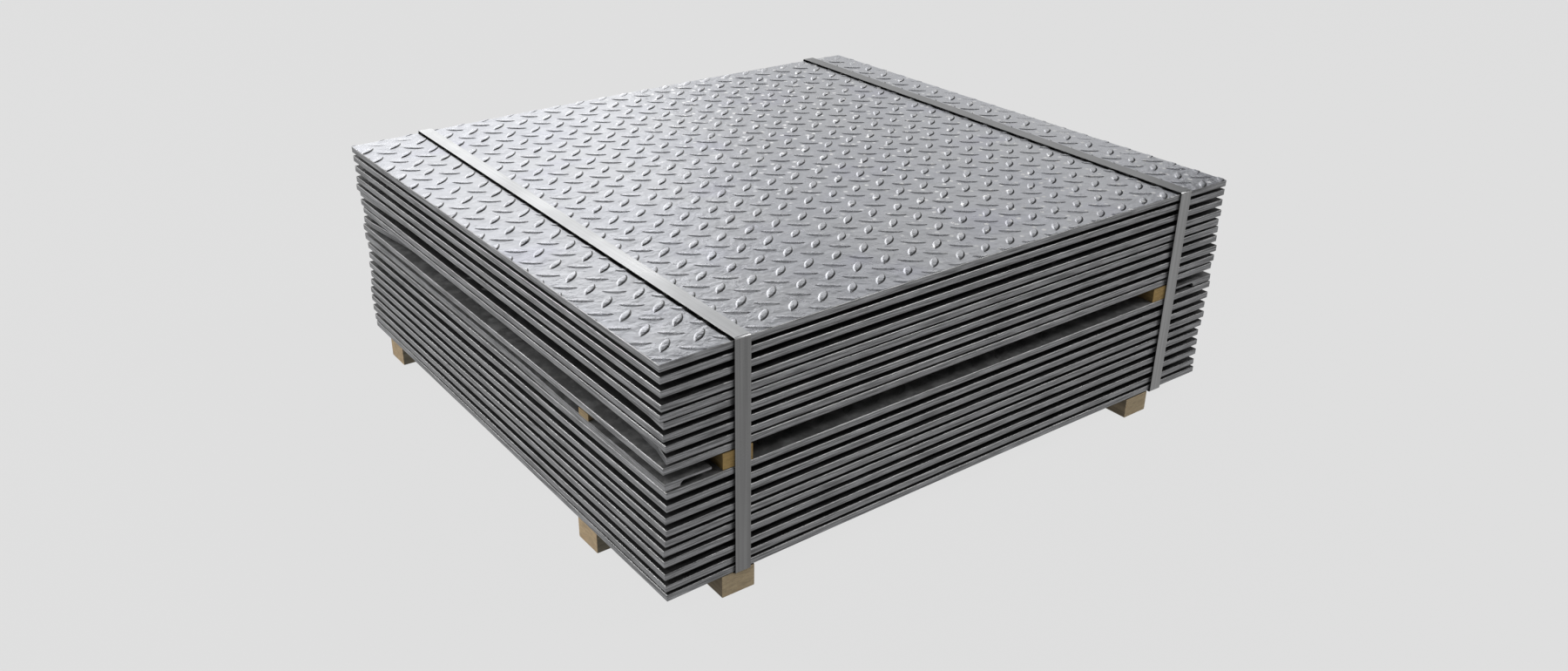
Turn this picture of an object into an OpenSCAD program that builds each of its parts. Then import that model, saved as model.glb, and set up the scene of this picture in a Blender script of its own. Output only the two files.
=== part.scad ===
// Strapped bundle of checker plates: two packets of sheets on timber bearers.
// Origin: middle of the bundle's footprint, on the ground. +X along the plates' long side, -Y is the front.

/* [Plates] */
// Length of a plate, along X
plate_length = 1245; // [1100:5:1400]
// Width of a plate, along Y
plate_width = 1145; // [1000:5:1300]
// Thickness of a plate, without its raised lugs
plate_thickness = 12; // [10:0.5:13]
// Height of the raised lugs, which hold the straps off the top plate
lug_height = 2; // [1.5:0.5:4]
// Rise of the middle of the innermost plates above their ends
crown_least = 1.5; // [0:0.5:3]
// Further rise of the middle of the lowest and the highest plate
crown_extra = 2.5; // [0:0.5:4]

/* [Bearers] */
// Height of the bearers and blocks under the bundle
bearer_height = 40; // [30:1:60]
// Width of the bearers and blocks
bearer_width = 60; // [45:1:80]
// Length of the short side blocks
block_length = 62; // [40:1:64]

/* [Spacers] */
// Width of the spacer blocks between the two packets
spacer_width = 54; // [40:1:60]
// Depth of the spacer blocks, behind the front edge
spacer_depth = 44; // [30:1:46]
// Width of the thin packers on the bent plate
packer_width = 30; // [20:1:50]

/* [Straps] */
// Width of the steel straps
strap_width = 28; // [19:1:32]
// Thickness of the steel straps
strap_thickness = 1.3; // [0.8:0.1:1.5]
// Outer radius of the bends of a strap
strap_bend = 3; // [2:0.5:8]
// Gap between the straps and the plates' cut edges
strap_gap = 1.2; // [0.8:0.1:3]

/* [Hidden] */
$fn = 48;
steel = [0.62, 0.62, 0.64];
strap_steel = [0.45, 0.45, 0.44];
timber = [0.62, 0.52, 0.38];
stained_timber = [0.52, 0.39, 0.2];
margin = 10;

// The plates are numbered from the bottom. Gaps above each plate but the last, at the two ends.
gap_left = [4, 11, 10, 5, 6, 6, 8, 9, 10, 3, 14, 4, 8, 5, 7, 2.5, 4, 9, 10, 7];
gap_right = [5, 12, 9, 8, 9, 7, 8, 9, 11, 3, 12, 4, 8, 8, 6, 5, 6, 8, 9, 6];
// How far each plate lies out of line with the stack, along X and along Y.
slip_x = [-1, -2, -4, -4, -3, -1, 1, 1, 3, 3, 1, 0, 3, 4, 2, 3, -3, -1, 0, -1, -2];
slip_y = [0, 1, -1, 0, 2, 0, -1, 1, 0, -1, 0, 1, 0, -1, 1, 2, 0, -1, 1, 0, -1];
plate_count = len(slip_x);
top_plate = plate_count - 1;
arch_steps = 12;

// The bent plate lies between the packets, under the thin packers. Two plates are set back at the left.
bent_plate = 10;
set_back_plates = [[12, 22], [15, 8]];
set_back_start = 40;
set_back_end = 200;
set_back_return = 260;
bend_start = 260;
bend_end = 460;
bend_rise = 6;

// Front notch of the bent plate: its tongues reach the front edge at both ends, each with a torn underside.
tongue_left = 80;
tongue_right = 106;
torn_length = 46;
torn_height = 8;
notch_depth = 48;

// Places along X and Y, from the middle of the bundle.
bearer_left_x = -485;
bearer_right_x = 448;
strap_left_x = -479;
strap_right_x = 511;
skew_left = 1;
skew_right = 1.5;
spacer_left_x = -495;
spacer_right_x = 478;
block_near_y = -330;
block_far_y = 470;
packer_near_y = -342;
packer_far_y = 330;
packer_inset = 60;
groove_depth = strap_thickness + 0.4;
groove_width = strap_width + 3;

half_length = plate_length / 2;
half_width = plate_width / 2;
plate_names = [for (i = [1:plate_count]) str("plate_", i < 10 ? "0" : "", i)];
block_names = ["block_front_left", "block_back_left", "block_front_right", "block_back_right"];

function sum_to(list, n) = n <= 0 ? 0 : list[n - 1] + sum_to(list, n - 1);
function rest_height(i, gaps) = i * plate_thickness + sum_to(gaps, i);
function along(x) = (x + half_length) / plate_length;
function mix(a, b, t) = a + (b - a) * t;

// Rise of plate i at x over the line between its two ends.
function crown(i) = crown_least + crown_extra * pow(2 * i / top_plate - 1, 2);
function arch(i, x) = crown(i) * (1 - pow(x / half_length, 2));
deck = bearer_height - arch(0, bearer_left_x - bearer_width / 2 - 2 * margin);
function line_height(i, x) = deck + mix(rest_height(i, gap_left), rest_height(i, gap_right), along(x));
function under(i, x) = line_height(i, x) + arch(i, x);
function over(i, x) = under(i, x) + plate_thickness;

// A sheet with the crown of plate i, swept along Y.
module arched_sheet(i) {
    xs = [for (k = [0:arch_steps]) -half_length + plate_length * k / arch_steps];
    lower = [for (x = xs) [x, under(i, x)]];
    upper = [for (k = [arch_steps:-1:0]) [xs[k], over(i, xs[k])]];
    translate([0, half_width, 0])
        rotate([90, 0, 0])
            linear_extrude(plate_width)
                polygon(concat(lower, upper));
}

// What is cut from the left edge of a plate that is set back by depth: all but its two corners.
module left_edge_cut(depth) {
    linear_extrude(line_height(top_plate, 0) + 10 * margin)
        polygon([
            [-half_length - margin, -half_width - margin],
            [-half_length, -half_width - margin],
            [-half_length + depth / 2, -half_width + set_back_start],
            [-half_length + depth, -half_width + set_back_end],
            [-half_length + depth, half_width - set_back_return],
            [-half_length, half_width - set_back_start],
            [-half_length - margin, half_width - set_back_start]
        ]);
}

module plain_plate(i) {
    set_back = [for (pair = set_back_plates) if (pair[0] == i) pair[1]];
    color(steel)
        translate([slip_x[i], slip_y[i], 0])
            difference() {
                arched_sheet(i);
                if (len(set_back) > 0) left_edge_cut(set_back[0]);
            }
}

// The torn underside of a tongue, from x = 0 at its rounded end to the notch along +X.
module torn_underside() {
    rotate([-90, 0, 0]) cylinder(r = torn_height, h = notch_depth + margin);
    translate([0, 0, -margin])
        cube([torn_length, notch_depth + margin, torn_height + margin]);
}

module bent_sheet() {
    bottom = line_height(bent_plate, 0);
    rise = line_height(bent_plate, half_length) - line_height(bent_plate, -half_length);
    slope = atan(rise / plate_length);
    lower = [[-half_width, 0], [-half_width + bend_start, 0], [-half_width + bend_end, bend_rise],
        [half_width, bend_rise]];
    upper = [for (k = [len(lower) - 1:-1:0]) lower[k] + [0, plate_thickness]];
    front = -half_width - margin;
    color(steel)
        translate([slip_x[bent_plate], slip_y[bent_plate], bottom])
            rotate([0, -slope, 0])
                difference() {
                    translate([-half_length, 0, 0])
                        rotate([90, 0, 90])
                            linear_extrude(plate_length)
                                polygon(concat(lower, upper));
                    translate([-half_length + tongue_left, front, -margin])
                        cube([plate_length - tongue_left - tongue_right, notch_depth + margin,
                            plate_thickness + 2 * margin]);
                    translate([-half_length + tongue_left - torn_length, front, 0]) torn_underside();
                    translate([half_length - tongue_right + torn_length, front, 0])
                        mirror([1, 0, 0]) torn_underside();
                }
}

module plate(i) {
    if (i == bent_plate) bent_sheet();
    else plain_plate(i);
}

// Timber laid along Y, centred at x, turned by skew about the vertical.
module bearer(x, skew) {
    translate([x, 0, 0])
        rotate([0, 0, -skew])
            translate([-bearer_width / 2, -half_width, 0])
                cube([bearer_width, plate_width, bearer_height]);
}

// The left bearer has a shallow groove in its top, in which the strap lies.
module bearer_left() {
    color(timber)
        difference() {
            bearer(bearer_left_x, skew_left);
            translate([strap_left_x, 0, bearer_height - groove_depth])
                rotate([0, 0, -skew_left])
                    translate([-groove_width / 2, -half_width - margin, 0])
                        cube([groove_width, plate_width + 2 * margin, groove_depth + margin]);
        }
}

module bearer_right() {
    color(timber) bearer(bearer_right_x, 0);
}

// Short block at one side: side is -1 for the left and 1 for the right.
module side_block(side, y) {
    color(timber)
        translate([side * (half_length - block_length / 2), y, bearer_height / 2])
            cube([block_length, bearer_width, bearer_height], center = true);
}

// Block in the notch of the bent plate, between the top of the lower packet and the upper packet.
module spacer(x) {
    low_x = x - spacer_width / 2;
    high_x = x + spacer_width / 2;
    bottom = max(over(bent_plate - 1, low_x), over(bent_plate - 1, high_x));
    top = min(under(bent_plate + 1, low_x), under(bent_plate + 1, high_x));
    color(stained_timber)
        translate([low_x, -half_width, bottom])
            cube([spacer_width, spacer_depth, top - bottom]);
}

// Thin packer along X on the bent plate, cut to the plates' slope.
module packer(y, rise, inset) {
    left_x = -half_length + inset;
    right_x = half_length - packer_inset;
    low = [for (x = [left_x, right_x]) line_height(bent_plate, x) + plate_thickness + rise + 0.3];
    high = [for (x = [left_x, right_x]) line_height(bent_plate + 1, x) - 0.3];
    color(stained_timber)
        translate([0, y + packer_width / 2, 0])
            rotate([90, 0, 0])
                linear_extrude(packer_width)
                    polygon([[left_x, low[0]], [right_x, low[1]], [right_x, high[1]], [left_x, high[0]]]);
}

module rounded_rectangle(half_w, low, high, r) {
    translate([-half_w + r, low]) square([2 * (half_w - r), high - low]);
    translate([-half_w, low + r]) square([2 * half_w, high - low - 2 * r]);
    for (y = [-half_w + r, half_w - r], z = [low + r, high - r]) translate([y, z]) circle(r);
}

// Closed band round the bundle, from low to high, centred at x and turned by skew about the vertical.
module strap(x, skew, low, high) {
    reach = half_width + max(slip_y) + strap_gap + strap_thickness;
    color(strap_steel)
        translate([x, 0, 0])
            rotate([0, 0, -skew])
                translate([-strap_width / 2, 0, 0])
                    rotate([90, 0, 90])
                        linear_extrude(strap_width)
                            difference() {
                                rounded_rectangle(reach, low, high, strap_bend);
                                rounded_rectangle(reach - strap_thickness, low + strap_thickness,
                                    high - strap_thickness, strap_bend - strap_thickness);
                            }
}

// Heights of a strap's underside and top, in whole tenths of a millimetre.
function strap_bottom(x) = floor(10 * (under(0, x) - strap_thickness - 0.8)) / 10;
function strap_top(x) = ceil(10 * (over(top_plate, x) + lug_height + strap_thickness + 0.2)) / 10;

module strap_left() {
    strap(strap_left_x, skew_left, bearer_height - groove_depth + 0.1, strap_top(strap_left_x));
}

module strap_right() {
    strap(strap_right_x, skew_right, strap_bottom(strap_right_x), strap_top(strap_right_x));
}

for (i = [0:top_plate])
    plate(i);
bearer_left();
bearer_right();
side_block(-1, block_near_y);  // block_front_left
side_block(-1, block_far_y);  // block_back_left
side_block(1, block_near_y);  // block_front_right
side_block(1, block_far_y);  // block_back_right
spacer(spacer_left_x);  // spacer_left
spacer(spacer_right_x);  // spacer_right
packer(packer_near_y, 0, 0);  // packer_front
packer(packer_far_y, bend_rise, packer_inset);  // packer_back
strap_left();
strap_right();
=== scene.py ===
"""Looks of the strapped bundle of checker plates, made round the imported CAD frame.

The raised lugs are added as geometry. Every CAD piece gets its steel, strapping or timber and a worn arris.
"""

import math
import random

import bmesh
import bpy
from mathutils import Matrix, Vector
from mathutils.bvhtree import BVHTree


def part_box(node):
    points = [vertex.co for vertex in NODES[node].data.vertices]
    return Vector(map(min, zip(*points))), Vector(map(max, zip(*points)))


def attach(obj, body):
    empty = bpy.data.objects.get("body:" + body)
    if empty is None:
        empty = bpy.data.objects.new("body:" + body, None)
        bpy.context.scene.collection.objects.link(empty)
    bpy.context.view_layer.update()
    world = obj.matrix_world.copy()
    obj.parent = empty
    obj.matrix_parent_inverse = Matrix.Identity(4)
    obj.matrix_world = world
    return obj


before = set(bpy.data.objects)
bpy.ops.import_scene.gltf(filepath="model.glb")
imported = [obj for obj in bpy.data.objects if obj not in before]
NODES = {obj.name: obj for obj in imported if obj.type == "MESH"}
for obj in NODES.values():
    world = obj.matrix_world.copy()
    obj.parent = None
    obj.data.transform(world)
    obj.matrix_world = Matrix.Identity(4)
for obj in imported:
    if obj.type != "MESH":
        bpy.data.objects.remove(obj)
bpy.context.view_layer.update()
BODY = "root"
MM = 0.001

PLATES = sorted(name for name in NODES if name.startswith("plate_"))
TOP_PLATE = PLATES[-1]
# The plates beside the space between the two packets, whose faces show and get a lighter painted shade.
OPEN_PLATES = ["plate_10", "plate_11", "plate_12"]
BEARERS = ["bearer_left", "bearer_right"]
SIDE_BLOCKS = [name for name in NODES if name.startswith("block_")]
SPACERS = ["spacer_left", "spacer_right"]
PACKERS = ["packer_front", "packer_back"]
X_AXIS = 0
Y_AXIS = 1

# Widths of the worn arrises.
PLATE_ARRIS = 1.4 * MM
STRAP_ARRIS = 0.3 * MM
TIMBER_ARRIS = 1.0 * MM


# ---------------------------------------------------------------- camera, light and floor

def add_camera():
    """Stands off the front left corner and looks down across the top plate."""
    place = Vector((-1.3989, -1.8594, 1.2203))
    azimuth = math.radians(-37.42)
    elevation = math.radians(26.36)
    roll = math.radians(0.87)
    back = Vector((math.sin(azimuth) * math.cos(elevation),
                   -math.cos(azimuth) * math.cos(elevation),
                   math.sin(elevation)))
    level = Vector((0, 0, 1)).cross(back).normalized()
    upright = back.cross(level)
    side = level * math.cos(roll) + upright * math.sin(roll)
    up = upright * math.cos(roll) - level * math.sin(roll)
    data = bpy.data.cameras.new("camera")
    data.lens = 29.01
    data.sensor_width = 36
    camera = bpy.data.objects.new("camera", data)
    turn = Matrix((side, up, back)).transposed().to_4x4()
    camera.matrix_world = Matrix.Translation(place) @ turn
    bpy.context.scene.collection.objects.link(camera)
    bpy.context.scene.camera = camera


def add_area_light(name, place, target, width, height, power):
    """A white rectangle of light at place, in metres and watts, turned to face the target."""
    data = bpy.data.lights.new(name, "AREA")
    data.shape = "RECTANGLE"
    data.size = width
    data.size_y = height
    data.energy = power
    light = bpy.data.objects.new(name, data)
    light.location = place
    light.rotation_euler = (Vector(target) - Vector(place)).to_track_quat("-Z", "Y").to_euler()
    bpy.context.scene.collection.objects.link(light)


def add_lights():
    """Softboxes behind shine in the top plate, and the others light the arrises and the plates' ends."""
    add_area_light("back_softbox", (0.4, 8.0, 2.95), (0, 0, 0.8), 8.4, 5.2, 159)
    add_area_light("right_back_softbox", (5.5, 5.3, 2.9), (0, 0, 0.4), 4.4, 4.2, 33)
    add_area_light("low_back_strip", (2.4, 8.2, 0.5), (0, 0, 0.5), 6.0, 0.8, 46)
    add_area_light("left_softbox", (-5.5, -1.0, 1.5), (-0.5, 0, 0.3), 3.0, 1.6, 80)
    add_area_light("top_softbox", (-0.8, -1.0, 6.0), (0, 0, 0.4), 6.0, 6.0, 26)
    add_area_light("front_arris_light", (2.9, -2.4, 4.1), (0, -0.5, 0.3), 1.6, 1.6, 52)
    add_area_light("left_arris_light", (-3.2, 3.4, 3.2), (-0.6, 0, 0.3), 1.4, 1.4, 58)
    world = bpy.data.worlds.new("studio")
    bpy.context.scene.world = world
    world.use_nodes = True
    background = world.node_tree.nodes["Background"]
    background.inputs["Color"].default_value = (0.97, 0.98, 1.0, 1)
    background.inputs["Strength"].default_value = 0.07


def add_floor():
    """Pale floor that glows evenly, like a lit sweep, so that it stays one tone."""
    mesh = bpy.data.meshes.new("floor")
    reach = 40.0
    mesh.from_pydata([(-reach, -reach, 0), (reach, -reach, 0), (reach, reach, 0), (-reach, reach, 0)],
                     [], [(0, 1, 2, 3)])
    floor = bpy.data.objects.new("floor", mesh)
    bpy.context.scene.collection.objects.link(floor)
    material = bpy.data.materials.new("floor_pale")
    material.use_nodes = True
    shader = material.node_tree.nodes["Principled BSDF"]
    shader.inputs["Base Color"].default_value = (0.03, 0.03, 0.03, 1)
    shader.inputs["Roughness"].default_value = 1.0
    shader.inputs["Specular IOR Level"].default_value = 0.0
    shader.inputs["Emission Color"].default_value = (1, 1, 1, 1)
    shader.inputs["Emission Strength"].default_value = 0.725
    mesh.materials.append(material)


# ---------------------------------------------------------------- node helpers

class Nodes:
    """Short calls for building one material's node tree."""

    def __init__(self, name):
        self.material = bpy.data.materials.new(name)
        self.material.use_nodes = True
        self.tree = self.material.node_tree
        self.shader = self.tree.nodes["Principled BSDF"]
        self.place = self.add("ShaderNodeTexCoord").outputs["Object"]

    def add(self, kind, **settings):
        node = self.tree.nodes.new(kind)
        for key, value in settings.items():
            setattr(node, key, value)
        return node

    def link(self, source, target):
        self.tree.links.new(source, target)

    def feed(self, socket, value):
        if isinstance(value, bpy.types.NodeSocket):
            self.link(value, socket)
        else:
            socket.default_value = value

    def parts(self, vector):
        """The X, Y and Z outputs of a vector."""
        node = self.add("ShaderNodeSeparateXYZ")
        self.link(vector, node.inputs[0])
        return node.outputs

    def facing(self):
        """The X, Y and Z of the direction that each face looks in."""
        return self.parts(self.add("ShaderNodeNewGeometry").outputs["True Normal"])

    def stretch(self, scale, turn=(0, 0, 0)):
        """The place, scaled and turned, for a texture that is longer one way than another."""
        mapping = self.add("ShaderNodeMapping")
        mapping.inputs["Scale"].default_value = scale
        mapping.inputs["Rotation"].default_value = turn
        self.link(self.place, mapping.inputs["Vector"])
        return mapping.outputs["Vector"]

    def noise(self, scale, detail=3.0, roughness=0.5, vector=None, distortion=0.0):
        node = self.add("ShaderNodeTexNoise")
        node.inputs["Scale"].default_value = scale
        node.inputs["Detail"].default_value = detail
        node.inputs["Roughness"].default_value = roughness
        node.inputs["Distortion"].default_value = distortion
        self.link(vector or self.place, node.inputs["Vector"])
        return node.outputs["Fac"]

    def math(self, operation, a, b=0.0):
        node = self.add("ShaderNodeMath", operation=operation)
        self.feed(node.inputs[0], a)
        self.feed(node.inputs[1], b)
        return node.outputs[0]

    def span(self, value, low, high, to_low=0.0, to_high=1.0):
        """Goes from to_low to to_high as the value goes from low to high, and stays there outside."""
        node = self.add("ShaderNodeMapRange", clamp=True)
        self.feed(node.inputs["Value"], value)
        node.inputs["From Min"].default_value = low
        node.inputs["From Max"].default_value = high
        node.inputs["To Min"].default_value = to_low
        node.inputs["To Max"].default_value = to_high
        return node.outputs["Result"]

    def mix(self, amount, a, b):
        node = self.add("ShaderNodeMix", data_type="RGBA")
        self.feed(node.inputs["Factor"], amount)
        self.feed(node.inputs["A"], a)
        self.feed(node.inputs["B"], b)
        return next(s for s in node.outputs if s.type == "RGBA")

    def bump(self, height, strength, distance, normal=None):
        node = self.add("ShaderNodeBump")
        node.inputs["Strength"].default_value = strength
        node.inputs["Distance"].default_value = distance
        self.link(height, node.inputs["Height"])
        if normal:
            self.link(normal, node.inputs["Normal"])
        return node.outputs["Normal"]

    def lean(self, normal, amount, tilt):
        """The normal leaned by tilt, as far as the amount says."""
        leaned = self.add("ShaderNodeVectorMath", operation="MULTIPLY_ADD")
        self.link(amount, leaned.inputs[0])
        leaned.inputs[1].default_value = tilt
        self.link(normal, leaned.inputs[2])
        unit = self.add("ShaderNodeVectorMath", operation="NORMALIZE")
        self.link(leaned.outputs[0], unit.inputs[0])
        return unit.outputs[0]


def grey(value, tint=(1.0, 1.0, 1.0)):
    """A grey base colour, or a nearly grey one with a tint."""
    return (value * tint[0], value * tint[1], value * tint[2], 1)


def shade(color, share):
    """A darker share of a colour."""
    return tuple(share * c for c in color[:3]) + (1,)


# ---------------------------------------------------------------- plate steel

MILL_TINT = (0.975, 0.99, 1.03)
SHEAR_TINT = (0.99, 1, 1.03)

# Palest grey of the painted shade on upper faces in the stack: on plates, on lugs and on the open plates.
SHUT_GREY = 0.06
SHUT_LUG_GREY = 0.2
OPEN_GREY = 0.32

# Where the left edge of each strap crosses the middle of the top plate, and how far it moves in X for each
# metre of Y. The painted shadow line along it starts outside the strap and ends under it.
LEFT_STRAP_EDGE = (-493 * MM, 0.0175)
RIGHT_STRAP_EDGE = (497 * MM, 0.0262)
SHADOW_STARTS = (-5.0 * MM, -3.6 * MM)
SHADOW_ENDS = (4.0 * MM, 8.0 * MM)

# Direction in plan in which the side of each lug with painted shade looks.
SHADED_SIDE = (0.656, -0.755)

# Nicks: cells to a metre, how far out their rims lie, where along X they set in, and how they tilt the face.
NICK_CELLS = 27.0
NICK_RIM = (0.08, 0.13)
NICKS_SET_IN = (-250 * MM, 100 * MM)
NICK_TILT = (-0.22, 0.19, 0.0)


def mill_finish(n, mottle):
    """Pale rolled steel, mottled, with clouds and a few bluish stains."""
    face = n.mix(n.span(mottle, 0.35, 0.65), grey(0.72, (0.975, 0.99, 1.04)), grey(0.82, MILL_TINT))
    cloud = n.noise(5.0, 3, 0.55)
    face = n.mix(n.span(cloud, 0.4, 0.7), face, grey(0.76, (0.96, 0.98, 1.05)))
    stain = n.span(n.noise(7.5, 2, 0.5), 0.6, 0.72, 0, 0.3)
    return n.mix(stain, face, (0.64, 0.64, 0.78, 1))


def shade_lug_flanks(n, facing, face):
    """Paints shade on the side of each lug that looks to the front right, which draws a dark arc there."""
    toward = n.math("ADD", n.math("MULTIPLY", facing["X"], SHADED_SIDE[0]),
                    n.math("MULTIPLY", facing["Y"], SHADED_SIDE[1]))
    return n.mix(n.span(toward, 0.18, 0.40), face, grey(0.24))


def strap_shadow_line(n, spot, x, slope):
    """Mask of the painted shadow line along a strap's left edge, which crosses the middle of the plate at x.
    """
    across = n.math("SUBTRACT", spot["X"], n.math("MULTIPLY", spot["Y"], slope))
    started = n.span(across, x + SHADOW_STARTS[0], x + SHADOW_STARTS[1])
    return n.math("MULTIPLY", started, n.span(across, x + SHADOW_ENDS[0], x + SHADOW_ENDS[1], 1.0, 0.0))


def shadow_beside_straps(n, spot, face):
    """Paints the shadow line along each strap's left edge."""
    left = strap_shadow_line(n, spot, *LEFT_STRAP_EDGE)
    right = strap_shadow_line(n, spot, *RIGHT_STRAP_EDGE)
    return n.mix(n.math("MAXIMUM", left, right), face, grey(0.03))


def shut_face_shade(n, facing, mottle, palest):
    """Painted shade on faces shut in the stack: dark and mottled, and darkest underneath."""
    patches = n.span(mottle, 0.45, 0.7)
    under = n.mix(patches, grey(0.02), grey(0.06))
    over = n.mix(patches, grey(0.5 * palest), grey(palest))
    return n.mix(n.span(facing["Z"], -0.1, 0.1), under, over)


def sheared_edge(n, facing):
    """Cut edges, streaked along their length, with a painted highlight on the upper arris and painted shade
    on the lower one.
    """
    streak = n.noise(1.0, 3, 0.6, n.stretch((14, 14, 420)))
    grain = n.noise(900.0, 2, 0.5)
    edge = n.mix(n.span(streak, 0.38, 0.62), grey(0.10, SHEAR_TINT), grey(0.36, SHEAR_TINT))
    edge = n.mix(n.span(grain, 0.3, 0.7, 0, 0.5), edge, grey(0.13))
    # Painted highlight on the upward arris, and painted shade on the downward one.
    bright = n.mix(n.span(streak, 0.3, 0.7), grey(0.40), grey(0.66))
    edge = n.mix(n.span(facing["Z"], 0.12, 0.3), edge, bright)
    return n.mix(n.span(facing["Z"], -0.3, -0.12, 1.0, 0.0), edge, grey(0.02))


def nick_glint_mask(n, spot):
    """Mask of small nicks scattered over the right half of the plate, which are painted near white as
    glints.
    """
    cells = n.add("ShaderNodeTexVoronoi", voronoi_dimensions="2D")
    cells.inputs["Scale"].default_value = NICK_CELLS
    n.link(n.place, cells.inputs["Vector"])
    nicks = n.span(cells.outputs["Distance"], *NICK_RIM, 1.0, 0.0)
    return n.math("MULTIPLY", nicks, n.span(spot["X"], *NICKS_SET_IN))


def plate_material(name, bare_top, gloss, cut_edges=True, palest=SHUT_GREY):
    """Steel of checker plates, or of their lugs where there are no cut edges.

    A bare top has the mill finish on its upper side, with a painted shadow line beside the straps and small
    nicks painted near white as glints. All other level faces are shut in the stack and get painted shade.
    """
    n = Nodes(name)
    facing = n.facing()
    spot = n.parts(n.place)
    mottle = n.noise(38.0, 4, 0.6)
    fine = n.noise(420.0, 3, 0.6)
    dapple = n.noise(110.0, 3, 0.6)
    level = n.span(n.math("ABSOLUTE", facing["Z"]), 0.90, 0.97, 0.0 if cut_edges else 1.0)
    bare = n.span(facing["Z"], -0.1, 0.1, 0.0, 1.0 if bare_top else 0.0)

    face = mill_finish(n, mottle)
    if not cut_edges:
        face = shade_lug_flanks(n, facing, face)
    if bare_top:
        face = shadow_beside_straps(n, spot, face)
    # Faces shut in the stack, and the top plate's underside, get painted shade.
    face = n.mix(bare, shut_face_shade(n, facing, mottle, palest), face)
    if bare_top:
        nicks = nick_glint_mask(n, spot)
        # The nicks are painted near white, as glints; their tilt is a real dent in the normal.
        face = n.mix(nicks, face, grey(0.97))
    n.link(n.mix(level, sheared_edge(n, facing), face), n.shader.inputs["Base Color"])

    metal = n.mix(level, grey(0.7), n.mix(bare, grey(0.15), grey(0.92)))
    n.link(metal, n.shader.inputs["Metallic"])

    blotch = n.math("ADD", mottle, n.math("MULTIPLY", fine, 0.4))
    rough = n.mix(bare, grey(0.5), n.span(blotch, 0.5, 0.95, gloss, gloss + 0.12))
    n.link(n.mix(level, grey(0.40), rough), n.shader.inputs["Roughness"])

    dents = n.bump(n.noise(16.0, 2, 0.5), 1.0, 1.5 * MM)
    hammered = n.bump(n.noise(48.0, 4, 0.6), 1.0, 1.5 * MM, dents)
    pits = n.math("ADD", n.math("MULTIPLY", fine, 0.12), n.math("MULTIPLY", dapple, 0.9))
    normal = n.bump(pits, 0.8, 0.5 * MM, hammered)
    if bare_top:
        normal = n.lean(normal, nicks, NICK_TILT)
    n.link(normal, n.shader.inputs["Normal"])
    return n.material


# ---------------------------------------------------------------- strapping and timber

STRAP_TINT = (0.99, 1, 1.01)


def strap_material(name, top, side):
    """Rolled strapping: top is its grey along the top plate, and side its grey on the upright runs.

    Its top and upright runs are lit and shaded by painted greys. It has a painted highlight where it turns
    over the top plate, and painted shade underneath and on its slit edges.
    """
    n = Nodes(name)
    facing = n.facing()
    rise = facing["Z"]
    slit = n.span(n.math("ABSOLUTE", facing["X"]), 0.6, 0.8)
    long_streak = n.noise(1.0, 2, 0.5, n.stretch((260, 2.5, 2.5)))
    streaks = n.span(long_streak, 0.35, 0.65)
    patch = n.noise(9.0, 2, 0.5)
    # Painted light on the top and painted shade on the upright runs.
    bright = n.mix(streaks, grey(top * 0.95, STRAP_TINT), grey(top * 1.05, STRAP_TINT))
    shaded_runs = n.mix(streaks, grey(side * 0.88), grey(side * 1.12))
    color = n.mix(n.span(rise, 0.85, 0.98), shaded_runs, bright)
    bend_highlight = n.math("MULTIPLY", n.span(rise, 0.1, 0.3), n.span(rise, 0.9, 0.98, 1.0, 0.0))
    color = n.mix(bend_highlight, color, grey(0.95))
    color = n.mix(n.span(rise, -0.6, -0.3, 1.0, 0.0), color, grey(0.03))
    color = n.mix(slit, color, grey(0.05))
    color = n.mix(n.span(patch, 0.45, 0.75, 0, 0.12), color, grey(0.4, STRAP_TINT))
    n.link(color, n.shader.inputs["Base Color"])
    n.shader.inputs["Metallic"].default_value = 0.9
    n.link(n.span(patch, 0.3, 0.7, 0.26, 0.34), n.shader.inputs["Roughness"])
    n.link(n.bump(long_streak, 0.15, 0.1 * MM), n.shader.inputs["Normal"])
    return n.material


def timber_material(name, axis, pale, dark):
    """Sawn softwood with its grain along the axis: pale end grain, and side grain darkened with painted
    shade.
    """
    n = Nodes(name)
    end = n.span(n.math("ABSOLUTE", n.facing()[axis]), 0.35, 0.75)
    scale = [130.0, 130.0, 130.0]
    scale[axis] = 5.0
    grain = n.noise(1.0, 4, 0.6, n.stretch(scale), 0.4)
    tilted = n.stretch((60.0, 60.0, 260.0), turn=(0.25, 0.25, 0.0))
    ring = n.noise(1.0, 3, 0.5, tilted, 0.8)
    knot = n.noise(110.0, 2, 0.5)
    saw = n.noise(700.0, 2, 0.6)
    face = n.mix(n.span(ring, 0.36, 0.62), shade(pale, 0.74), pale)
    knot_brown = (pale[0], pale[1] * 0.8, pale[2] * 0.68, 1)
    face = n.mix(n.span(knot, 0.58, 0.72, 0, 0.4), face, knot_brown)
    face = n.mix(n.span(saw, 0.3, 0.7, 0, 0.25), face, dark)
    # Painted shade on the side grain.
    shaded_side_grain = n.mix(n.span(grain, 0.35, 0.65), shade(dark, 0.55), dark)
    n.link(n.mix(end, shaded_side_grain, face), n.shader.inputs["Base Color"])
    n.shader.inputs["Roughness"].default_value = 0.85
    rough = n.math("ADD", grain, n.math("MULTIPLY", saw, 0.4))
    n.link(n.bump(rough, 0.8, 0.6 * MM), n.shader.inputs["Normal"])
    return n.material


# ---------------------------------------------------------------- the CAD nodes

def finish_node(name, material, bevel):
    """Gives a CAD node its material and a small worn arris."""
    piece = NODES[name]
    piece.data.materials.clear()
    piece.data.materials.append(material)
    weld = piece.modifiers.new("weld", "WELD")
    weld.merge_threshold = 0.01 * MM
    arris = piece.modifiers.new("arris", "BEVEL")
    arris.width = bevel
    arris.segments = 3
    arris.limit_method = "ANGLE"
    arris.angle_limit = math.radians(30)


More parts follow.
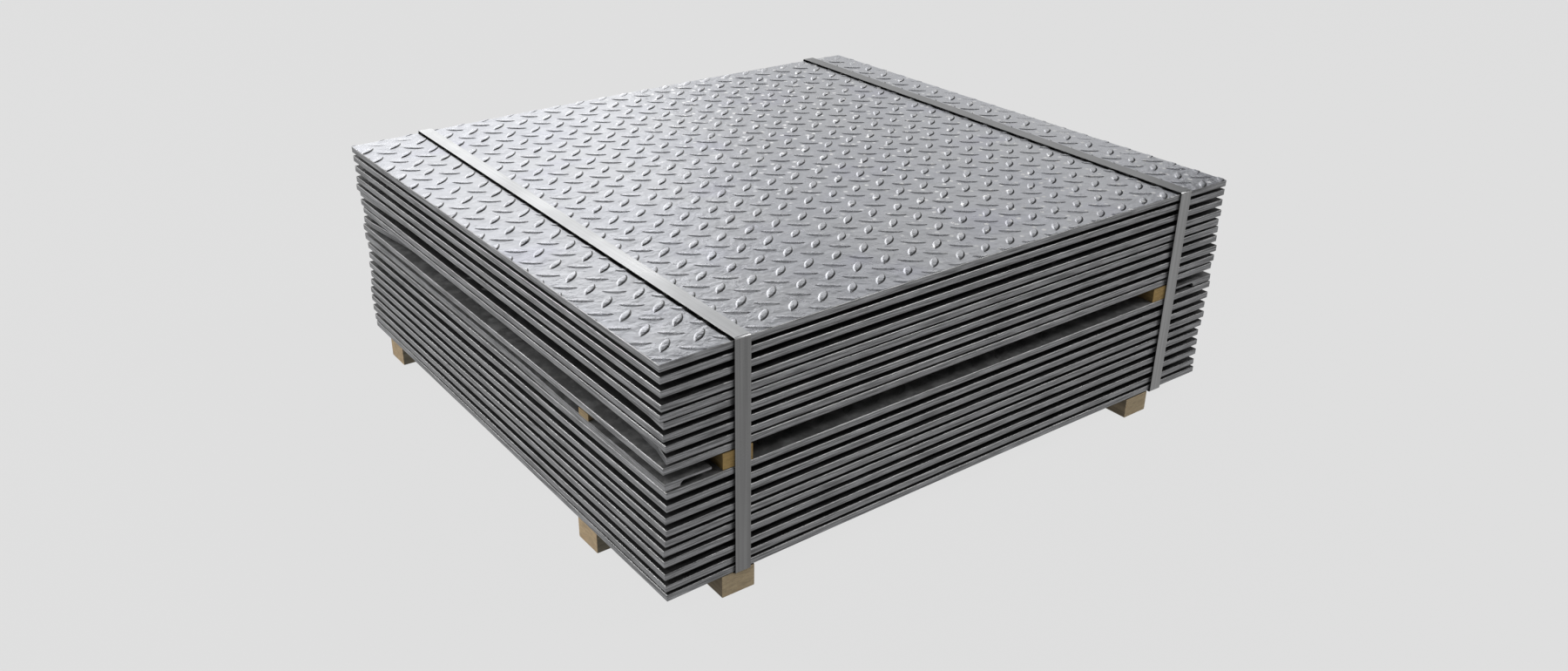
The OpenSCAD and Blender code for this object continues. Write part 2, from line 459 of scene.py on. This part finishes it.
# ---------------------------------------------------------------- lugs

LUG_LENGTH = 43 * MM
LUG_WIDTH = 14 * MM
LUG_HEIGHT = 1.9 * MM
# The share of its height that a lug loses at its tips, and the power that narrows its outline toward them.
LUG_TIP_FALL = 0.65
LUG_TIP_POWER = 1.7

# Lugs of one slant lie in rows and columns, and the rows spread apart with the square of their number. Lugs
# of the other slant are lower and lie half way between.
LUG_ANGLE = math.radians(41)
LUG_FIRST = Vector((-90.6, -430.4)) * MM
LUG_STEP_X = Vector((54.8, -1.5)) * MM
LUG_STEP_Y = Vector((1.8, 55.6)) * MM
LUG_SPREAD = 0.18 * MM
LUG_ROWS = range(-6, 24)
LUG_COLUMNS = range(-14, 18)
CROSS_HEIGHT = 0.74

# How much the lugs stray, and the range of their lengths and heights.
LUG_STRAY = 1.2 * MM
LUG_TWIST = 0.05
LONG_SHARES = (0.9, 1.04)
TALL_SHARES = (0.85, 1.08)

# Lugs within the edge band at the back and right are flatter, for a smooth outline. In the stack only the
# lugs within the seen band show.
EDGE_BAND = 24 * MM
EDGE_SHARE = 0.4
SEEN_BAND = 60 * MM

# Rings of a lug from its foot to its crown: how far out they lie and how high.
FULL_RINGS = [(1.05, -0.05), (1.0, 0.06), (0.80, 0.58), (0.66, 0.90), (0.52, 1.0)]
LOW_RINGS = [(1.1, -0.05), (0.75, 0.8)]


def lug_outline(t):
    """A point of the pointed leaf, with t running from 0 to 1 round it, as length and width shares."""
    angle = 2 * math.pi * t
    c, s = math.cos(angle), math.sin(angle)
    return c, math.copysign(abs(s) ** LUG_TIP_POWER, s)


def lug_points(rings, around):
    """Points of a lug along X, ring by ring and then its crown, each ring falling toward the two tips."""
    points = []
    for reach, rise in rings:
        for k in range(around):
            c, s = lug_outline(k / around)
            half = LUG_LENGTH / 2 + (reach - 1) * LUG_WIDTH / 2
            fall = 1 - LUG_TIP_FALL * abs(half * c / (LUG_LENGTH / 2)) ** 3
            points.append((half * c, LUG_WIDTH / 2 * reach * s, LUG_HEIGHT * rise * fall))
    points.append((0, 0, LUG_HEIGHT))
    return points


def lug_faces(ring_count, around):
    """Faces between the rings, and a fan of triangles round the crown."""
    faces = []
    for r in range(ring_count - 1):
        for k in range(around):
            a = r * around + k
            b = r * around + (k + 1) % around
            faces.append((a, b, b + around, a + around))
    crown = ring_count * around
    last = (ring_count - 1) * around
    for k in range(around):
        faces.append((last + k, last + (k + 1) % around, crown))
    return faces


def lug_places(low, high):
    """Centre, angle, length share and height share of each lug near the sheet from low to high."""
    places = []
    reach = LUG_LENGTH / 2
    for turn, shift in ((LUG_ANGLE, 0.0), (-LUG_ANGLE, 0.5)):
        for row in LUG_ROWS:
            j = row + shift
            for column in LUG_COLUMNS:
                i = column + shift
                place = LUG_FIRST + LUG_STEP_X * i + LUG_STEP_Y * j
                place.y += LUG_SPREAD * j * abs(j)
                if low.x - reach < place.x < high.x + reach and low.y - reach < place.y < high.y + reach:
                    places.append((place.x + random.uniform(-1, 1) * LUG_STRAY,
                                   place.y + random.uniform(-1, 1) * LUG_STRAY,
                                   turn + random.uniform(-LUG_TWIST, LUG_TWIST),
                                   random.uniform(*LONG_SHARES),
                                   random.uniform(*TALL_SHARES) * (1.0 if turn > 0 else CROSS_HEIGHT)))
    return places


def sheet_tree(name):
    mesh = NODES[name].data
    return BVHTree.FromPolygons([v.co for v in mesh.vertices], [tuple(p.vertices) for p in mesh.polygons])


def heights_under(tree, x, y, turn, low, high):
    """Heights of the sheet under a lug's first tip, middle and last tip, with None where it is cut out."""
    heights = []
    for along in (-LUG_LENGTH / 2, 0, LUG_LENGTH / 2):
        # A tip past the sheet's edge takes the height just inside it.
        inside_x = min(max(x + math.cos(turn) * along, low.x + MM), high.x - MM)
        inside_y = min(max(y + math.sin(turn) * along, low.y + MM), high.y - MM)
        hit = tree.ray_cast(Vector((inside_x, inside_y, high.z + 50 * MM)), Vector((0, 0, -1)))
        heights.append(hit[0].z if hit[0] is not None else None)
    return heights


def placed(shape, x, y, turn, long, tall, heights):
    """The points of one lug, turned and moved to its place, and following the sheet from tip to tip."""
    c, s = math.cos(turn), math.sin(turn)
    first, middle, last = heights
    points = []
    for px, py, pz in shape:
        px *= long
        share = px / (LUG_LENGTH / 2)
        rise = (last - middle) * share if share > 0 else (first - middle) * -share
        points.append((x + c * px - s * py, y + s * px + c * py, middle + rise + pz * tall))
    return points


def clip(bm, low, high):
    """Cuts the lugs flush with the sheet's cut edges and caps them."""
    for point, normal in ((low, (-1, 0, 0)), (low, (0, -1, 0)), (high, (1, 0, 0)), (high, (0, 1, 0))):
        geometry = bm.verts[:] + bm.edges[:] + bm.faces[:]
        cut = bmesh.ops.bisect_plane(bm, geom=geometry, plane_co=point, plane_no=normal, clear_outer=True)
        rim = [e for e in cut["geom_cut"] if isinstance(e, bmesh.types.BMEdge)]
        bmesh.ops.edgenet_fill(bm, edges=rim)


def sheet_lugs(sheet, rings, around, band):
    """Mesh of one sheet's lugs, or with a band of the whole lugs within that distance of its edges."""
    low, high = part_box(sheet)
    tree = sheet_tree(sheet)
    shape = lug_points(rings, around)
    pattern = lug_faces(len(rings), around)
    vertices, faces = [], []
    for x, y, turn, long, tall in lug_places(low, high):
        inside = min(x - low.x, high.x - x, y - low.y, high.y - y)
        if band and not LUG_LENGTH / 2 < inside < band:
            continue
        heights = heights_under(tree, x, y, turn, low, high)
        if None in heights:
            continue
        if min(high.x - x, high.y - y) < EDGE_BAND:
            tall *= EDGE_SHARE
        start = len(vertices)
        vertices.extend(placed(shape, x, y, turn, long, tall, heights))
        faces.extend(tuple(start + v for v in face) for face in pattern)
    mesh = bpy.data.meshes.new("sheet_lugs")
    mesh.from_pydata(vertices, [], faces)
    bm = bmesh.new()
    bm.from_mesh(mesh)
    clip(bm, low, high)
    bm.to_mesh(mesh)
    bm.free()
    return mesh


def add_lugs(sheets, name, rings, around, band, material):
    """Lugs on the given sheets, as one piece."""
    merged = bmesh.new()
    for sheet in sheets:
        mesh = sheet_lugs(sheet, rings, around, band)
        merged.from_mesh(mesh)
        bpy.data.meshes.remove(mesh)
    for face in merged.faces:
        # Only the upright caps of the cut lugs stay flat.
        face.smooth = abs(face.normal.z) > 0.05
    mesh = bpy.data.meshes.new(name)
    merged.to_mesh(mesh)
    merged.free()
    mesh.materials.append(material)
    piece = bpy.data.objects.new(name, mesh)
    bpy.context.scene.collection.objects.link(piece)
    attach(piece, BODY)


# ---------------------------------------------------------------- the scene

random.seed(7)
bpy.context.scene.view_settings.view_transform = "Standard"
add_camera()
add_lights()
add_floor()

top_steel = plate_material("plate_steel", bare_top=True, gloss=0.26)
lug_steel = plate_material("lug_steel", bare_top=True, gloss=0.22, cut_edges=False)
stacked_steel = plate_material("stacked_plate_steel", bare_top=False, gloss=0.26)
stacked_lug_steel = plate_material("stacked_lug_steel", bare_top=False, gloss=0.26, cut_edges=False,
                                   palest=SHUT_LUG_GREY)
open_steel = plate_material("open_plate_steel", bare_top=False, gloss=0.26, palest=OPEN_GREY)
for plate in PLATES:
    if plate == TOP_PLATE:
        steel = top_steel
    elif plate in OPEN_PLATES:
        steel = open_steel
    else:
        steel = stacked_steel
    finish_node(plate, steel, PLATE_ARRIS)

# Both straps are the same strapping, each with its own painted greys of light and shade for its top and
# runs.
finish_node("strap_left", strap_material("strap_steel", top=0.82, side=0.185), STRAP_ARRIS)
finish_node("strap_right", strap_material("strap_steel_right", top=0.38, side=0.26), STRAP_ARRIS)

for title, pieces, axis, pale, dark in (
        ("bearer_timber", BEARERS, Y_AXIS, (0.47, 0.37, 0.23, 1), (0.13, 0.10, 0.06, 1)),
        ("block_timber", SIDE_BLOCKS, X_AXIS, (0.50, 0.37, 0.22, 1), (0.15, 0.13, 0.09, 1)),
        ("spacer_timber", SPACERS, Y_AXIS, (0.42, 0.28, 0.10, 1), (0.14, 0.09, 0.025, 1)),
        ("packer_timber", PACKERS, X_AXIS, (0.34, 0.25, 0.13, 1), (0.16, 0.11, 0.05, 1))):
    timber = timber_material(title, axis, pale, dark)
    for piece in pieces:
        finish_node(piece, timber, TIMBER_ARRIS)

add_lugs([TOP_PLATE], "top_lugs", FULL_RINGS, around=24, band=None, material=lug_steel)
add_lugs(PLATES[:-1], "lower_lugs", LOW_RINGS, around=8, band=SEEN_BAND, material=stacked_lug_steel)
